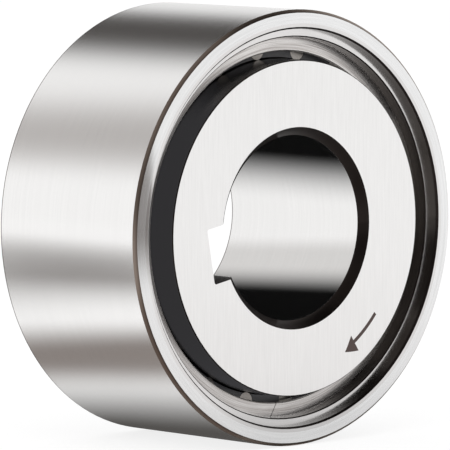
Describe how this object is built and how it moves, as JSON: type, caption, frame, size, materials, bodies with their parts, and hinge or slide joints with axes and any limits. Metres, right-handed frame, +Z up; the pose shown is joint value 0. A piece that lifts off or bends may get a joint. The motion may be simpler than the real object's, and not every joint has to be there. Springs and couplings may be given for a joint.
{
  "type": "sprag clutch",
  "caption": "One-way sprag clutch: inner ring with keyed bore, caged sprags and a plain outer ring, held by two flat split retaining rings.",
  "frame": {"origin": "centre of the bore at mid-width", "axes": "+Y along the clutch axis from the front face to the back face, +Z up; the clutch stands on its rim as in the picture"},
  "size_m": [0.047, 0.0218, 0.047],
  "materials": {
    "ground_steel": "ground and hardened bearing steel",
    "spring_steel": "turned spring steel",
    "black_nylon": "moulded black nylon",
    "hardened_steel": "drawn and hardened steel, lightly oiled"
  },
  "bodies": {
    "inner_ring": {"inner_ring": "ground_steel"},
    "outer_ring": {"outer_ring": "ground_steel", "front_retaining_ring": "spring_steel", "back_retaining_ring": "spring_steel"},
    "cage": {"cage": "black_nylon", "energising_spring": "spring_steel"},
    "sprag_01": {"sprag_01": "hardened_steel"},
    "sprag_02": {"sprag_02": "hardened_steel"},
    "sprag_03": {"sprag_03": "hardened_steel"},
    "sprag_04": {"sprag_04": "hardened_steel"},
    "sprag_05": {"sprag_05": "hardened_steel"},
    "sprag_06": {"sprag_06": "hardened_steel"},
    "sprag_07": {"sprag_07": "hardened_steel"},
    "sprag_08": {"sprag_08": "hardened_steel"},
    "sprag_09": {"sprag_09": "hardened_steel"},
    "sprag_10": {"sprag_10": "hardened_steel"},
    "sprag_11": {"sprag_11": "hardened_steel"},
    "sprag_12": {"sprag_12": "hardened_steel"},
    "sprag_13": {"sprag_13": "hardened_steel"},
    "sprag_14": {"sprag_14": "hardened_steel"},
    "sprag_15": {"sprag_15": "hardened_steel"},
    "sprag_16": {"sprag_16": "hardened_steel"},
    "sprag_17": {"sprag_17": "hardened_steel"},
    "sprag_18": {"sprag_18": "hardened_steel"},
    "sprag_19": {"sprag_19": "hardened_steel"},
    "sprag_20": {"sprag_20": "hardened_steel"}
  },
  "joints": [
    {"name": "outer_spin", "type": "hinge", "parent": "inner_ring", "child": "outer_ring", "pos_m": [0, 0, 0], "axis": [0, -1, 0], "continuous": true},
    {"name": "cage_spin", "type": "hinge", "parent": "outer_ring", "child": "cage", "pos_m": [0, 0, 0], "axis": [0, -1, 0], "continuous": true},
    {"name": "sprag_01_tilt", "type": "hinge", "parent": "cage", "child": "sprag_01", "pos_m": [0.01901, 0, 0.00217], "axis": [0, -1, 0], "range_deg": [0, 6], "stiffness_Nm_per_rad": 0.0005, "springref_deg": -11.46},
    {"name": "sprag_02_tilt", "type": "hinge", "parent": "cage", "child": "sprag_02", "pos_m": [0.01741, 0, 0.00793], "axis": [0, -1, 0], "range_deg": [0, 6], "stiffness_Nm_per_rad": 0.0005, "springref_deg": -11.46},
    {"name": "sprag_03_tilt", "type": "hinge", "parent": "cage", "child": "sprag_03", "pos_m": [0.0141, 0, 0.01292], "axis": [0, -1, 0], "range_deg": [0, 6], "stiffness_Nm_per_rad": 0.0005, "springref_deg": -11.46},
    {"name": "sprag_04_tilt", "type": "hinge", "parent": "cage", "child": "sprag_04", "pos_m": [0.00942, 0, 0.01665], "axis": [0, -1, 0], "range_deg": [0, 6], "stiffness_Nm_per_rad": 0.0005, "springref_deg": -11.46},
    {"name": "sprag_05_tilt", "type": "hinge", "parent": "cage", "child": "sprag_05", "pos_m": [0.00381, 0, 0.01875], "axis": [0, -1, 0], "range_deg": [0, 6], "stiffness_Nm_per_rad": 0.0005, "springref_deg": -11.46},
    {"name": "sprag_06_tilt", "type": "hinge", "parent": "cage", "child": "sprag_06", "pos_m": [-0.00217, 0, 0.01901], "axis": [0, -1, 0], "range_deg": [0, 6], "stiffness_Nm_per_rad": 0.0005, "springref_deg": -11.46},
    {"name": "sprag_07_tilt", "type": "hinge", "parent": "cage", "child": "sprag_07", "pos_m": [-0.00793, 0, 0.01741], "axis": [0, -1, 0], "range_deg": [0, 6], "stiffness_Nm_per_rad": 0.0005, "springref_deg": -11.46},
    {"name": "sprag_08_tilt", "type": "hinge", "parent": "cage", "child": "sprag_08", "pos_m": [-0.01292, 0, 0.0141], "axis": [0, -1, 0], "range_deg": [0, 6], "stiffness_Nm_per_rad": 0.0005, "springref_deg": -11.46},
    {"name": "sprag_09_tilt", "type": "hinge", "parent": "cage", "child": "sprag_09", "pos_m": [-0.01665, 0, 0.00942], "axis": [0, -1, 0], "range_deg": [0, 6], "stiffness_Nm_per_rad": 0.0005, "springref_deg": -11.46},
    {"name": "sprag_10_tilt", "type": "hinge", "parent": "cage", "child": "sprag_10", "pos_m": [-0.01875, 0, 0.00381], "axis": [0, -1, 0], "range_deg": [0, 6], "stiffness_Nm_per_rad": 0.0005, "springref_deg": -11.46},
    {"name": "sprag_11_tilt", "type": "hinge", "parent": "cage", "child": "sprag_11", "pos_m": [-0.01901, 0, -0.00217], "axis": [0, -1, 0], "range_deg": [0, 6], "stiffness_Nm_per_rad": 0.0005, "springref_deg": -11.46},
    {"name": "sprag_12_tilt", "type": "hinge", "parent": "cage", "child": "sprag_12", "pos_m": [-0.01741, 0, -0.00793], "axis": [0, -1, 0], "range_deg": [0, 6], "stiffness_Nm_per_rad": 0.0005, "springref_deg": -11.46},
    {"name": "sprag_13_tilt", "type": "hinge", "parent": "cage", "child": "sprag_13", "pos_m": [-0.0141, 0, -0.01292], "axis": [0, -1, 0], "range_deg": [0, 6], "stiffness_Nm_per_rad": 0.0005, "springref_deg": -11.46},
    {"name": "sprag_14_tilt", "type": "hinge", "parent": "cage", "child": "sprag_14", "pos_m": [-0.00942, 0, -0.01665], "axis": [0, -1, 0], "range_deg": [0, 6], "stiffness_Nm_per_rad": 0.0005, "springref_deg": -11.46},
    {"name": "sprag_15_tilt", "type": "hinge", "parent": "cage", "child": "sprag_15", "pos_m": [-0.00381, 0, -0.01875], "axis": [0, -1, 0], "range_deg": [0, 6], "stiffness_Nm_per_rad": 0.0005, "springref_deg": -11.46},
    {"name": "sprag_16_tilt", "type": "hinge", "parent": "cage", "child": "sprag_16", "pos_m": [0.00217, 0, -0.01901], "axis": [0, -1, 0], "range_deg": [0, 6], "stiffness_Nm_per_rad": 0.0005, "springref_deg": -11.46},
    {"name": "sprag_17_tilt", "type": "hinge", "parent": "cage", "child": "sprag_17", "pos_m": [0.00793, 0, -0.01741], "axis": [0, -1, 0], "range_deg": [0, 6], "stiffness_Nm_per_rad": 0.0005, "springref_deg": -11.46},
    {"name": "sprag_18_tilt", "type": "hinge", "parent": "cage", "child": "sprag_18", "pos_m": [0.01292, 0, -0.0141], "axis": [0, -1, 0], "range_deg": [0, 6], "stiffness_Nm_per_rad": 0.0005, "springref_deg": -11.46},
    {"name": "sprag_19_tilt", "type": "hinge", "parent": "cage", "child": "sprag_19", "pos_m": [0.01665, 0, -0.00942], "axis": [0, -1, 0], "range_deg": [0, 6], "stiffness_Nm_per_rad": 0.0005, "springref_deg": -11.46},
    {"name": "sprag_20_tilt", "type": "hinge", "parent": "cage", "child": "sprag_20", "pos_m": [0.01875, 0, -0.00381], "axis": [0, -1, 0], "range_deg": [0, 6], "stiffness_Nm_per_rad": 0.0005, "springref_deg": -11.46}
  ],
  "couplings": [
    {"joint": "sprag_02_tilt", "follows": "sprag_01_tilt", "ratio": 1},
    {"joint": "sprag_03_tilt", "follows": "sprag_01_tilt", "ratio": 1},
    {"joint": "sprag_04_tilt", "follows": "sprag_01_tilt", "ratio": 1},
    {"joint": "sprag_05_tilt", "follows": "sprag_01_tilt", "ratio": 1},
    {"joint": "sprag_06_tilt", "follows": "sprag_01_tilt", "ratio": 1},
    {"joint": "sprag_07_tilt", "follows": "sprag_01_tilt", "ratio": 1},
    {"joint": "sprag_08_tilt", "follows": "sprag_01_tilt", "ratio": 1},
    {"joint": "sprag_09_tilt", "follows": "sprag_01_tilt", "ratio": 1},
    {"joint": "sprag_10_tilt", "follows": "sprag_01_tilt", "ratio": 1},
    {"joint": "sprag_11_tilt", "follows": "sprag_01_tilt", "ratio": 1},
    {"joint": "sprag_12_tilt", "follows": "sprag_01_tilt", "ratio": 1},
    {"joint": "sprag_13_tilt", "follows": "sprag_01_tilt", "ratio": 1},
    {"joint": "sprag_14_tilt", "follows": "sprag_01_tilt", "ratio": 1},
    {"joint": "sprag_15_tilt", "follows": "sprag_01_tilt", "ratio": 1},
    {"joint": "sprag_16_tilt", "follows": "sprag_01_tilt", "ratio": 1},
    {"joint": "sprag_17_tilt", "follows": "sprag_01_tilt", "ratio": 1},
    {"joint": "sprag_18_tilt", "follows": "sprag_01_tilt", "ratio": 1},
    {"joint": "sprag_19_tilt", "follows": "sprag_01_tilt", "ratio": 1},
    {"joint": "sprag_20_tilt", "follows": "sprag_01_tilt", "ratio": 1}
  ]
}
